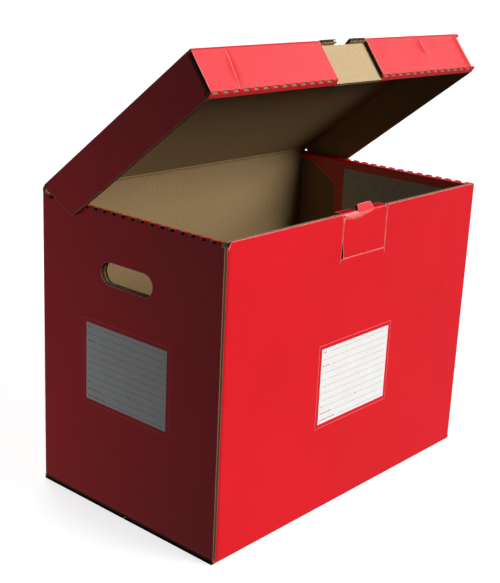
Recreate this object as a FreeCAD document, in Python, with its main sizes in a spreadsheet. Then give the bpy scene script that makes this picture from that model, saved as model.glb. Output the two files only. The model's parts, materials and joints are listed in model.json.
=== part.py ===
import FreeCAD, Part
import math
import os

import Sketcher

# Archival box of corrugated board, standing on its base with its cap lid part open.
# Millimetres.  X runs along the length, the labelled front wall faces -Y and +Z is up.
# The origin is the centre of the base.  One die-cut blank is folded into the box, so
# every panel between two creases is a piece of its own here.

DIMENSIONS = {
    # body
    "box_length": 382.0,
    "box_width": 230.0,
    "box_height": 290.0,
    "board": 3.6,
    "ply_gap": 0.5,          # air between the two plies of a doubled end wall
    "fit_gap": 0.4,          # air left where a flap lies beside its neighbour
    "minor_flap": 110.0,
    "glue_tab_width": 36.0,
    "glue_tab_taper": 22.0,
    # doubled ends
    "neck_half_width": 60.0,
    "shoulder_half_width": 98.0,
    "shoulder_drop": 8.0,
    "neck_drop": 30.0,
    "hand_length": 66.0,
    "hand_height": 21.0,
    "hand_centre_height": 233.0,
    # lock flap in the front wall
    "lock_width": 66.0,
    "lock_height": 42.0,
    "lock_slit": 0.8,
    "strip_depth": 12.0,
    "tongue_width": 24.0,
    "tongue_height": 11.0,
    "tongue_inset": 5.0,
    "tongue_slope": 3.0,
    # cap lid
    "lid_angle": 37.5,
    "lid_gap": 0.6,          # air between the lid flanges and the walls they cover
    "lid_seat": 0.3,         # air between the lid's underside and the rims it rests on
    "crease_gap": 0.1,       # air between the two mitred edges at the lid's crease
    "flange_height": 42.3,
    "flange_setback": 4.0,
    "flange_taper": 24.0,
    "corner_tab": 45.0,
    "window_width": 68.0,
    "notch_front": 20.0,
    "notch_back": 36.0,
    "notch_depth": 20.0,
    # labels
    "label_width": 105.0,
    "label_height": 75.0,
    "label_paper": 0.1,
    "front_label_height": 128.0,
    "end_label_height": 143.5,
    # perforated creases
    "perf_length": 6.0,
    "perf_pitch": 12.0,
    "perf_width": 0.9,
}

# Places that several panels share, each a formula of the dimensions above.
PLACES = {
    "half_length": "box_length / 2",
    "half_width": "box_width / 2",
    "wall_top": "box_height - board",
    "rim_width": "2 * board + ply_gap",
    "inner_face": "half_length - rim_width",
    "floor_top": "2 * board",
    "lock_crease": "box_height - lock_height",
    "hinge_height": "box_height + lid_seat + board",
    "lid_half_length": "half_length + lid_gap + board",
    "lid_depth": "box_width + lid_gap + 2 * board + lid_seat",
    "inner_ply_front": "lid_depth - board - lid_seat",
}

doc = FreeCAD.newDocument("ArchivalBox")
sheet = doc.addObject("Spreadsheet::Sheet", "Dims")
pieces = []


def fill_sheet():
    row = 0
    for name, value in DIMENSIONS.items():
        row += 1
        sheet.set("A%d" % row, name)
        sheet.set("B%d" % row, "%g" % value)
        sheet.setAlias("B%d" % row, name)
    for name, formula in PLACES.items():
        row += 1
        sheet.set("A%d" % row, name)
        sheet.set("B%d" % row, "=" + formula)
        sheet.setAlias("B%d" % row, name)
    doc.recompute()


def bound(formula):
    """The formula with each word that names a cell turned into a reference to it."""
    words = formula.replace("(", " ( ").replace(")", " ) ").split()
    known = set(DIMENSIONS) | set(PLACES)
    return " ".join("Dims." + word if word in known else word for word in words)


def value_of(formula):
    return float(sheet.evalExpression(bound(formula)))


# ---------------------------------------------------------------- drawing a flat panel

PLANES = {"flat": "XY_Plane", "long": "XZ_Plane", "end": "YZ_Plane"}


def new_body(name):
    body = doc.addObject("PartDesign::Body", name)
    body.Label = name
    pieces.append(body)
    return body


def new_sketch(body, name, lie, level):
    """A sketch parallel to one of the body's origin planes, level along its normal."""
    sketch = body.newObject("Sketcher::SketchObject", name)
    plane = [f for f in body.Origin.OriginFeatures if f.Role == PLANES[lie]][0]
    sketch.AttachmentSupport = [(plane, "")]
    sketch.MapMode = "FlatFace"
    sign = "-1" if lie == "long" else "1"
    sketch.setExpression("AttachmentOffset.Base.z", "%s * ( %s )" % (sign, bound(level)))
    return sketch


def pin_point(sketch, edge, end, across, up):
    """Hold one end of an edge at a place given by two formulas."""
    for kind, formula in (("DistanceX", across), ("DistanceY", up)):
        index = sketch.addConstraint(
            Sketcher.Constraint(kind, -1, 1, edge, end, value_of(formula)))
        sketch.setExpression("Constraints[%d]" % index, bound(formula))


def draw_polygon(sketch, corners):
    first = sketch.GeometryCount
    spots = [FreeCAD.Vector(value_of(x), value_of(y), 0) for x, y in corners]
    for here, there in zip(spots, spots[1:] + spots[:1]):
        sketch.addGeometry(Part.LineSegment(here, there), False)
    for i, (across, up) in enumerate(corners):
        before = first + (i - 1) % len(corners)
        sketch.addConstraint(Sketcher.Constraint("Coincident", before, 2, first + i, 1))
        pin_point(sketch, first + i, 1, across, up)


def draw_hand_hole(sketch):
    """A round-ended slot, centred across the panel."""
    radius = value_of("hand_height / 2")
    reach = value_of("( hand_length - hand_height ) / 2")
    middle = value_of("hand_centre_height")
    first = sketch.GeometryCount
    for side in (1, -1):
        circle = Part.Circle(FreeCAD.Vector(side * reach, middle, 0), FreeCAD.Vector(0, 0, 1), radius)
        start = -side * math.pi / 2
        sketch.addGeometry(Part.ArcOfCircle(circle, start, start + math.pi), False)
    for height in (radius, -radius):
        sketch.addGeometry(Part.LineSegment(
            FreeCAD.Vector(height / radius * reach, middle + height, 0),
            FreeCAD.Vector(-height / radius * reach, middle + height, 0)), False)
    right, left, top, bottom = range(first, first + 4)
    for one, other in ((right, top), (top, left), (left, bottom), (bottom, right)):
        sketch.addConstraint(Sketcher.Constraint("Tangent", one, 2, other, 1))
    pin_point(sketch, right, 3, "( hand_length - hand_height ) / 2", "hand_centre_height")
    pin_point(sketch, left, 3, "( hand_height - hand_length ) / 2", "hand_centre_height")
    index = sketch.addConstraint(Sketcher.Constraint("Radius", right, radius))
    sketch.setExpression("Constraints[%d]" % index, bound("hand_height / 2"))


def rectangle(left, right, low, high):
    return [(left, low), (right, low), (right, high), (left, high)]


def panel(name, lie, level, corners, thickness="board", hand_hole=False):
    """A sheet padded from its low face at level, towards +X, +Y or +Z."""
    body = new_body(name)
    sketch = new_sketch(body, name + "_outline", lie, level)
    draw_polygon(sketch, corners)
    if hand_hole:
        draw_hand_hole(sketch)
    pad = body.newObject("PartDesign::Pad", name + "_board")
    pad.Profile = sketch
    pad.setExpression("Length", bound(thickness))
    pad.Reversed = lie == "long"
    return body


def cut_through(body, name, level, corners):
    """Cut a flat panel right through, upwards from its low face."""
    sketch = new_sketch(body, name + "_cut", "flat", level)
    draw_polygon(sketch, corners)
    doc.recompute()
    volume_before = body.Shape.Volume
    cut = body.newObject("PartDesign::Pocket", name)
    cut.Profile = sketch
    cut.Type = "ThroughAll"
    cut.Reversed = True
    doc.recompute()
    if body.Shape.Volume >= volume_before:
        raise RuntimeError(name + " removes nothing")
    return cut, sketch


def perforate(body, level, low_edge, high_edge, start, count):
    """A row of short cuts through a rim, one pitch apart, along the rim's length."""
    name = body.Label
    width_span = (low_edge, high_edge)
    length_span = (start, "%s + perf_length" % start)
    runs_along_y = name.startswith(("left_end", "right_end"))
    x_span, y_span = (width_span, length_span) if runs_along_y else (length_span, width_span)
    cut, sketch = cut_through(body, name + "_slit", level, rectangle(*x_span, *y_span))
    row = body.newObject("PartDesign::LinearPattern", name + "_slits")
    row.Originals = [cut]
    row.Direction = (sketch, ["V_Axis" if runs_along_y else "H_Axis"])
    row.setExpression("Length", "%d * %s" % (count - 1, bound("perf_pitch")))
    row.Occurrences = count
    body.Tip = row


# ---------------------------------------------------------------- the box

def make_walls():
    panel("back_wall", "end", "-1 * half_length",
          [("half_width - board", "board"), ("half_width", "board"),
           ("half_width", "hinge_height - crease_gap"),
           ("half_width - board", "hinge_height - crease_gap - board")],
          thickness="box_length")
    panel("front_wall", "long", "-1 * half_width",
          [("board - half_length", "board"), ("half_length", "board"),
           ("half_length", "box_height"), ("lock_width / 2 + lock_slit", "box_height"),
           ("lock_width / 2 + lock_slit", "lock_crease"), ("-1 * lock_width / 2 - lock_slit", "lock_crease"),
           ("-1 * lock_width / 2 - lock_slit", "box_height"), ("board - half_length", "box_height")])
    panel("left_end_outer", "end", "-1 * half_length",
          rectangle("-1 * half_width", "half_width - board", "board", "wall_top"), hand_hole=True)
    panel("right_end_outer", "end", "half_length - board",
          rectangle("board - half_width", "half_width - board", "board", "wall_top"), hand_hole=True)
    panel("glue_tab", "end", "board - half_length",
          [("board - half_width", "floor_top + fit_gap"),
           ("board - half_width + glue_tab_width", "floor_top + fit_gap + glue_tab_taper"),
           ("board - half_width + glue_tab_width", "wall_top - neck_drop - glue_tab_taper"),
           ("board - half_width", "wall_top - neck_drop")])


def make_doubled_ends():
    """Rim strip and roll-over inner panel of each end wall."""
    reach = "half_width - board - fit_gap"
    right_side = [(reach, "wall_top"), (reach, "wall_top - shoulder_drop + board"),
                  ("shoulder_half_width", "wall_top - shoulder_drop + board"),
                  ("neck_half_width", "wall_top - neck_drop + board"),
                  ("neck_half_width", "floor_top + fit_gap")]
    left_side = [("-1 * ( %s )" % y, z) for y, z in reversed(right_side)]
    rim_half_width = "half_width - board"
    slit_count = int(value_of("( box_width - 2 * board ) / perf_pitch"))
    for side in ("left", "right"):
        panel_face = "inner_face" if side == "right" else "-1 * inner_face - board"
        panel(side + "_end_inner", "end", panel_face, right_side + left_side, hand_hole=True)
        if side == "right":
            edges = ("inner_face", "half_length")
            slit = ("half_length - board - perf_width", "half_length - board")
        else:
            edges = ("-1 * half_length", "-1 * inner_face")
            slit = ("board - half_length", "board - half_length + perf_width")
        rim = panel(side + "_end_rim", "flat", "wall_top",
                    rectangle(edges[0], edges[1], "-1 * (%s)" % rim_half_width, rim_half_width))
        first_cut = "-1 * %g * perf_pitch / 2 + ( perf_pitch - perf_length ) / 2" % slit_count
        perforate(rim, "wall_top", slit[0], slit[1], first_cut, slit_count)


def make_bottom():
    panel("bottom_front_flap", "flat", "0",
          rectangle("-1 * half_length", "half_length", "-1 * half_width", "-1 * fit_gap"))
    panel("bottom_back_flap", "flat", "0",
          rectangle("-1 * half_length", "half_length", "fit_gap", "half_width"))
    across = ("board - half_width + fit_gap", "half_width - board - fit_gap")
    panel("bottom_right_flap", "flat", "board",
          rectangle("half_length - board - minor_flap", "half_length - board", across[0], across[1]))
    panel("bottom_left_flap", "flat", "board",
          rectangle("board - half_length", "board - half_length + minor_flap", across[0], across[1]))


def make_labels():
    wide = ("-1 * label_width / 2", "label_width / 2")
    panel("front_label", "long", "-1 * half_width - label_paper",
          rectangle(wide[0], wide[1], "front_label_height - label_height / 2",
                    "front_label_height + label_height / 2"), thickness="label_paper")
    panel("left_end_label", "end", "-1 * half_length - label_paper",
          rectangle(wide[0], wide[1], "end_label_height - label_height / 2",
                    "end_label_height + label_height / 2"), thickness="label_paper")


def make_lock():
    """Flap cut from the front wall, its turned-in top strip and the tongue on that strip."""
    wide = ("-1 * lock_width / 2", "lock_width / 2")
    panel("lock_flap", "long", "-1 * half_width",
          rectangle(wide[0], wide[1], "lock_crease", "wall_top"))
    panel("lock_strip", "flat", "wall_top",
          rectangle(wide[0], wide[1], "-1 * half_width", "strip_depth - half_width"))
    panel("lock_tongue", "long", "tongue_inset - half_width",
          [("-1 * tongue_width / 2", "box_height"), ("tongue_width / 2", "box_height"),
           ("tongue_width / 2 - tongue_slope", "box_height + tongue_height"),
           ("tongue_slope - tongue_width / 2", "box_height + tongue_height")])


# ---------------------------------------------------------------- the lid
# Drawn as if closed, from the hinge line: its front is towards -Y and it hangs below Z = 0.

def make_lid():
    made_before = len(pieces)
    half = "lid_half_length"
    top = panel("lid_top", "end", "-1 * lid_half_length",
                [("0", "0"), ("-1 * board", "-1 * board"), ("-1 * lid_depth", "-1 * board"),
                 ("-1 * lid_depth", "0")], thickness="2 * lid_half_length")
    cut_through(top, "lid_top_notch", "-1 * board",
                [("-1 * notch_front / 2", "-1 * lid_depth"), ("notch_front / 2", "-1 * lid_depth"),
                 ("notch_back / 2", "notch_depth - lid_depth"),
                 ("-1 * notch_back / 2", "notch_depth - lid_depth")])
    for side, face in (("left", "-1 * lid_half_length"), ("right", "lid_half_length - board")):
        panel("lid_%s_flange" % side, "end", face,
              [("-1 * flange_setback", "-1 * board"), ("-1 * inner_ply_front + board", "-1 * board"),
               ("-1 * inner_ply_front + board", "-1 * flange_height"),
               ("-1 * flange_setback - flange_taper", "-1 * flange_height")])
    tab_start = "lid_half_length - corner_tab"
    lip = "-1 * flange_height"
    rim_top = "board - flange_height"
    ceiling = "-1 * board"
    panel("lid_right_corner_tab", "long", "-1 * inner_ply_front",
          rectangle(tab_start, half, rim_top, ceiling))
    panel("lid_left_corner_tab", "long", "-1 * inner_ply_front",
          rectangle("-1 * " + half, "-1 * ( %s )" % tab_start, rim_top, ceiling))
    window = "window_width / 2 - fit_gap"
    ply_end = "lid_half_length - corner_tab - fit_gap"
    panel("lid_front_inner", "long", "-1 * inner_ply_front",
          [("-1 * ( %s )" % window, lip), (window, lip), (window, rim_top),
           (ply_end, rim_top), (ply_end, ceiling), ("-1 * ( %s )" % ply_end, ceiling),
           ("-1 * ( %s )" % ply_end, rim_top), ("-1 * ( %s )" % window, rim_top)])
    for side, sign in (("left", "-1 * "), ("right", "")):
        ends = sorted((sign + "window_width / 2", sign + half), key=value_of)
        panel("lid_front_outer_" + side, "long", "-1 * lid_depth",
              rectangle(ends[0], ends[1], rim_top, ceiling))
        rim = panel("lid_front_rim_" + side, "flat", "-1 * flange_height",
                    rectangle(ends[0], ends[1], "-1 * lid_depth", "board - inner_ply_front"))
        slit_count = int(value_of("( lid_half_length - window_width / 2 ) / perf_pitch"))
        perforate(rim, "-1 * flange_height", "board - lid_depth", "board - lid_depth + perf_width",
                  ends[0] + " + ( perf_pitch - perf_length ) / 2", slit_count)
    for piece in pieces[made_before:]:
        piece.setExpression("Placement.Base.y", bound("half_width"))
        piece.setExpression("Placement.Base.z", bound("hinge_height"))
        piece.Placement.Rotation = FreeCAD.Rotation(FreeCAD.Vector(1, 0, 0), -value_of("lid_angle"))


# ---------------------------------------------------------------- checks and export

def export_pieces():
    doc.recompute()
    for thing in doc.Objects:
        if {"Invalid", "Error"} & set(thing.State):
            raise RuntimeError("%s is %s" % (thing.Name, thing.State))
    os.makedirs("parts", exist_ok=True)
    for piece in pieces:
        if piece.Shape.isNull() or not piece.Shape.isValid():
            raise RuntimeError(piece.Label + " has no valid shape")
        piece.Shape.exportStep("parts/%s.step" % piece.Label)
        box = piece.Shape.BoundBox
        print("%-24s solids %d volume %9.0f  x %7.1f %7.1f  y %7.1f %7.1f  z %6.1f %6.1f" % (
            piece.Label, len(piece.Shape.Solids), piece.Shape.Volume,
            box.XMin, box.XMax, box.YMin, box.YMax, box.ZMin, box.ZMax))


fill_sheet()
make_walls()
make_doubled_ends()
make_bottom()
make_labels()
make_lock()
make_lid()
export_pieces()
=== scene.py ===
import json
import math

import bpy
import numpy as np
from mathutils import Matrix, Vector
from mathutils.geometry import delaunay_2d_cdt

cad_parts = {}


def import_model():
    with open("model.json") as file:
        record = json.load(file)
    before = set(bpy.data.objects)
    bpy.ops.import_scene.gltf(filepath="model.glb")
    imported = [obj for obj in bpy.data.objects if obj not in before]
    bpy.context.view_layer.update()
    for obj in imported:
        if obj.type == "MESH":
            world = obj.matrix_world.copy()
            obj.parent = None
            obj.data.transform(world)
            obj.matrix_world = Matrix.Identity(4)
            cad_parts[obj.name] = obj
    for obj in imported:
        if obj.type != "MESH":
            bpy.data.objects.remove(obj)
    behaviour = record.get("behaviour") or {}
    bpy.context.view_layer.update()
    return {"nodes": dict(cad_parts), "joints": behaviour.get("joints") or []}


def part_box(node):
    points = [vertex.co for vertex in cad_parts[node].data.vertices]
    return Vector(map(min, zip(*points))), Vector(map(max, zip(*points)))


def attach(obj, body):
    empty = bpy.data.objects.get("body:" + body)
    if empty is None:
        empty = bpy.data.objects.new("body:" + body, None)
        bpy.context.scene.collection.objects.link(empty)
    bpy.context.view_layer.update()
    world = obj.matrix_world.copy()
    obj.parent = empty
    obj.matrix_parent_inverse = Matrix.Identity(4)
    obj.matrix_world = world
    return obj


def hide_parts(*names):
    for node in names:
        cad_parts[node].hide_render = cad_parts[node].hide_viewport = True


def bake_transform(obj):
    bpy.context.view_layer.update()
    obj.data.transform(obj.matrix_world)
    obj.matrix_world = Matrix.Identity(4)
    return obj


# Archival box of corrugated board.  Each flat panel of the folded blank is a sheet with a
# printed face, a kraft face, two liners and the fluted paper between them, which shows
# along its cut edges.  Flat outlines are in millimetres, meshes in metres.
#
# An edge is raw where the board is cut, fold where it turns a corner and butt where it runs
# on into the next piece or is hidden behind one.

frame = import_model()

MM = 0.001

# ---------------------------------------------------------------- places from the frame

LID_JOINT = next(joint for joint in frame["joints"] if joint["name"] == "lid_hinge")
LID_OPEN = math.radians(-LID_JOINT["range_deg"][0])
LID_REST = Matrix.Translation(Vector(LID_JOINT["pos_m"])) @ Matrix.Rotation(-LID_OPEN, 4, "X")


def corners(node):
    """Lowest and highest corner of a node of the box, in millimetres."""
    low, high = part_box(node)
    return low / MM, high / MM


def closed_corners(node):
    """The same for a node of the lid, as if the lid were shut, from the hinge line."""
    back = LID_REST.inverted()
    co = np.array([back @ v.co for v in frame["nodes"][node].data.vertices]) / MM
    return Vector(co.min(0)), Vector(co.max(0))


front_low, front_high = corners("front_wall")
BOARD = front_high.y - front_low.y
HALF_LENGTH = front_high.x
HALF_WIDTH = -front_low.y
BOX_TOP = front_high.z
WALL_TOP = corners("left_end_outer")[1].z
INNER_FACE = corners("right_end_inner")[0].x
LOCK_HALF = corners("lock_flap")[1].x
LOCK_CREASE = corners("lock_flap")[0].z
HINGE_HEIGHT = LID_JOINT["pos_m"][2] / MM
LID_HALF = closed_corners("lid_top")[1].x
LID_DEPTH = -closed_corners("lid_top")[0].y
FLANGE = -closed_corners("lid_left_flange")[0].z
SETBACK = -closed_corners("lid_left_flange")[1].y
TAB_START = -closed_corners("lid_left_corner_tab")[1].x
PLY_FRONT = -closed_corners("lid_front_inner")[0].y
WINDOW_HALF = closed_corners("lid_front_outer_right")[0].x

# ---------------------------------------------------------------- make-up of the board

LINER = 0.45
RECESS = 2.0  # how far the flutes' hollow goes in from a cut edge
NIB = 0.14  # the small bevel of a cut liner
FOLD_RADIUS = 2.3
FLUTE_PITCH = 7.5
FLUTE_STEPS = 10
MEDIUM_HALF = 0.12  # half the thickness of the fluted paper
MEDIUM_BITE = 0.04  # how far it sinks into the liners
GRID = 10.0
NEAR_EDGE = 3.0
CORNER_STEP = 2.5
BORDER_CLEAR = 0.3
WEAR_REACH = 7.0
EDGE_WEAR = {"raw": 1.0, "fold": 0.8, "butt": 0.0}
FLUTE_WEAR = 0.35
CREASE_SIDE = 0.9
CREASE_DEPTH = 0.4
CREASE_WIDTH = 0.6
PRINTED, KRAFT, RAW, WHITE = range(4)

# (inset, depth) of the rows of points round an edge, from the printed to the kraft face.
FOLD_TURNS = [math.radians(30 * k) for k in range(4)]
EDGE_ROWS = {
    "fold": [(FOLD_RADIUS * (1 - math.sin(t)), FOLD_RADIUS * (1 - math.cos(t))) for t in FOLD_TURNS]
            + [(0, FOLD_RADIUS + (BOARD - FOLD_RADIUS) * k / 4) for k in (1, 2, 3, 4)],
    "raw": [(NIB, 0), (0, NIB), (0, LINER), (RECESS, LINER), (RECESS, BOARD - LINER),
            (0, BOARD - LINER), (0, BOARD - NIB), (NIB, BOARD)],
    "butt": [(0, BOARD * k / 7) for k in range(8)],
}
ROW_KINDS = {"raw": [PRINTED] + [RAW] * 5 + [KRAFT], "fold": [PRINTED] * 7, "butt": [PRINTED] * 7}


def corner_depth(kinds, row):
    """Depth of a row at a corner between two kinds of edge."""
    depths = [EDGE_ROWS[kind][row][1] for kind in kinds]
    if "raw" in kinds:
        return max(depths) if "fold" in kinds and row < 4 else EDGE_ROWS["raw"][row][1]
    return EDGE_ROWS["fold"][row][1] if "fold" in kinds else depths[0]


def outward(start, end):
    """Unit vector to the right of an edge, which is out of the board."""
    along = (end - start) / np.linalg.norm(end - start)
    return np.array([along[1], -along[0]])


def inset_point(point, normals, insets):
    """The point moved inwards by one inset from each of its two edges."""
    (ax, ay), (bx, by) = normals
    turn = ax * by - ay * bx
    if abs(turn) < 0.05:
        return point - normals[0] * (insets[0] + insets[1]) / 2
    x = (-insets[0] * by + insets[1] * ay) / turn
    y = (-insets[1] * ax + insets[0] * bx) / turn
    return point + np.array([x, y])


def divided(loop, step):
    """The loop's corners with points added along its edges, and the kind of each edge."""
    points, kinds = [], []
    for i, (a, b, kind) in enumerate(loop):
        start = np.array([a, b], float)
        end = np.array(loop[(i + 1) % len(loop)][:2], float)
        length = np.linalg.norm(end - start)
        places = [0]
        if length > 3 * CORNER_STEP:
            middle = length - 2 * CORNER_STEP
            count = max(1, round(middle / step))
            places += [CORNER_STEP + middle * k / count for k in range(count + 1)]
        points += [start + (end - start) * place / length for place in places]
        kinds += [kind] * len(places)
    return points, kinds


def rectangle(left, low, right, high, kinds):
    """Outline of a square-cut panel, and the kinds of its bottom, right, top and left edges."""
    spots = ((left, low), (right, low), (right, high), (left, high))
    return [(a, b, kind) for (a, b), kind in zip(spots, kinds.split())]


def stadium(length, height, middle, kind="raw", steps=9):
    """Round-ended hole, drawn clockwise."""
    radius = height / 2
    reach = length / 2 - radius
    loop = []
    for side in (1, -1):
        for k in range(steps + 1):
            turn = math.pi / 2 - math.pi * k / steps
            loop.append((side * (reach + radius * math.cos(turn)),
                         middle + side * radius * math.sin(turn), kind))
    return loop


def edges_of(loops):
    """All edges of closed loops, as pairs of points."""
    return [(loop[i - 1], loop[i]) for loop in loops for i in range(len(loop))]


def inside(points, loops):
    """Which points lie inside the outline and outside its holes."""
    result = np.zeros(len(points), bool)
    for (x0, y0), (x1, y1) in edges_of(loops):
        if y0 != y1:
            between = (points[:, 1] > min(y0, y1)) & (points[:, 1] <= max(y0, y1))
            at = x0 + (points[:, 1] - y0) * (x1 - x0) / (y1 - y0)
            result ^= between & (points[:, 0] < at)
    return result


def distance_to(points, segments):
    """Distance of each point from the nearest of the segments."""
    best = np.full(len(points), 1e9)
    for start, end in segments:
        start, end = np.array(start, float), np.array(end, float)
        along = end - start
        share = np.clip((points - start) @ along / (along @ along), 0, 1)
        gap = np.linalg.norm(points - start - share[:, None] * along, axis=1)
        best = np.minimum(best, gap)
    return best


def beside_edges(loops):
    """A row of points a little way in from the edges."""
    spots = []
    for loop in loops:
        for i, point in enumerate(loop):
            before, after = loop[i - 1], loop[(i + 1) % len(loop)]
            if min(math.dist(before, point), math.dist(point, after)) > 1e-6:
                normals = (outward(before, point), outward(point, after))
                spots.append(inset_point(point, normals, (NEAR_EDGE, NEAR_EDGE)))
    spots = np.array(spots)
    return spots[inside(spots, loops) & (distance_to(spots, edges_of(loops)) > 0.8 * NEAR_EDGE)]


def face_grid(loops, step, lines):
    """Points inside an outline: a row beside the edges, and a grid."""
    low, high = np.min(loops[0], axis=0), np.max(loops[0], axis=0)
    counts = [max(1, round(span / gap)) for span, gap in zip(high - low, step)]
    across = [low[i] + (np.arange(counts[i]) + 0.5) * (high - low)[i] / counts[i] for i in (0, 1)]
    grid = np.array([(a, b) for a in across[0] for b in across[1]])
    clear = min(step) * 0.35
    grid = grid[inside(grid, loops)]
    grid = grid[distance_to(grid, edges_of(loops)) > NEAR_EDGE + clear]
    beside = beside_edges(loops)
    if lines:
        grid = grid[distance_to(grid, lines) > clear]
        beside = beside[distance_to(beside, lines) > clear]
    return [*beside, *grid]


def beside_crease(line):
    """The crease itself and a row of points either side of it, so that its groove is crisp."""
    start, end = np.array(line[0], float), np.array(line[1], float)
    aside = outward(start, end) * CREASE_SIDE
    return [(start + aside * side, end + aside * side) for side in (-1, 0, 1)]


def clear_part(start, end, loops):
    """The part of a printed border that stays just clear of the board's edges."""
    share = np.linspace(0, 1, 1 + math.ceil(math.dist(start, end) / 0.25))[:, None]
    spots = np.array(start) * (1 - share) + np.array(end) * share
    spots = spots[inside(spots, loops) & (distance_to(spots, edges_of(loops)) > BORDER_CLEAR)]
    return spots[0], spots[-1]


def in_pieces(start, end, step):
    """A line cut into lengths of about one step."""
    count = max(1, round(math.dist(start, end) / step))
    marks = [Vector(start).lerp(Vector(end), k / count) for k in range(count + 1)]
    return list(zip(marks, marks[1:]))


def cut_runs(loop):
    """Each unbroken run of cut edges in a loop, as corner points, and whether it closes."""
    count = len(loop)
    spots = [np.array(point[:2], float) for point in loop]
    raw = [kind == "raw" for _, _, kind in loop]
    if all(raw):
        return [(spots, True)]
    runs = []
    for i in range(count):
        if raw[i] and not raw[i - 1]:
            run = [spots[i]]
            k = i
            while raw[k % count]:
                k += 1
                run.append(spots[k % count])
            runs.append((run, False))
    return runs


def flute_spots(run, closed, flute_axis):
    """Places along a run of cut edges, close enough to draw every flute, and the way out."""
    run = run + [run[0]] if closed else run
    spots, normals = [], []
    for start, end in zip(run, run[1:]):
        length = np.linalg.norm(end - start)
        along = (end - start) / length
        waves = abs(along[flute_axis]) * length / FLUTE_PITCH
        count = max(2, math.ceil(waves * FLUTE_STEPS), math.ceil(length / 25))
        spots += [start + along * length * k / count for k in range(count)]
        normals += [outward(start, end)] * count
    if not closed:
        trim = 0.4
        first_step, last_step = spots[1] - spots[0], run[-1] - spots[-1]
        spots[0] = run[0] + first_step / np.linalg.norm(first_step) * trim
        spots.append(run[-1] - last_step / np.linalg.norm(last_step) * trim)
        normals.append(normals[-1])
    return spots, rounded_normals(normals, closed)


def rounded_normals(normals, closed):
    """Each way out, averaged with the one before it, and longer where the edge turns."""
    rounded = []
    for i, normal in enumerate(normals):
        before = normals[i - 1] if i or closed else normal
        mean = (before + normal) / np.linalg.norm(before + normal)
        rounded.append(mean / max(0.5, mean @ normal))
    return rounded


class Mesh:
    """Points, faces and what each of them is, gathered before a mesh is made."""

    def __init__(self, flute_axis=0):
        self.flute_axis = flute_axis
        self.points = []
        self.blank = []
        self.wear = []
        self.faces = []
        self.kinds = []

    def add_point(self, point, blank, wear=0.0):
        self.points.append(tuple(point))
        self.blank.append(tuple(blank))
        self.wear.append(wear)
        return len(self.points) - 1

    def add_face(self, face, kind=0):
        self.faces.append(tuple(face))
        self.kinds.append(kind)

    def rub(self, centre, reach):
        """Wear the print inside a patch with a soft border."""
        away = (np.array(self.points)[:, :2] - centre) / reach
        self.wear = list(np.maximum(self.wear, np.exp(-(away ** 2).sum(axis=1) ** 2)))


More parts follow.
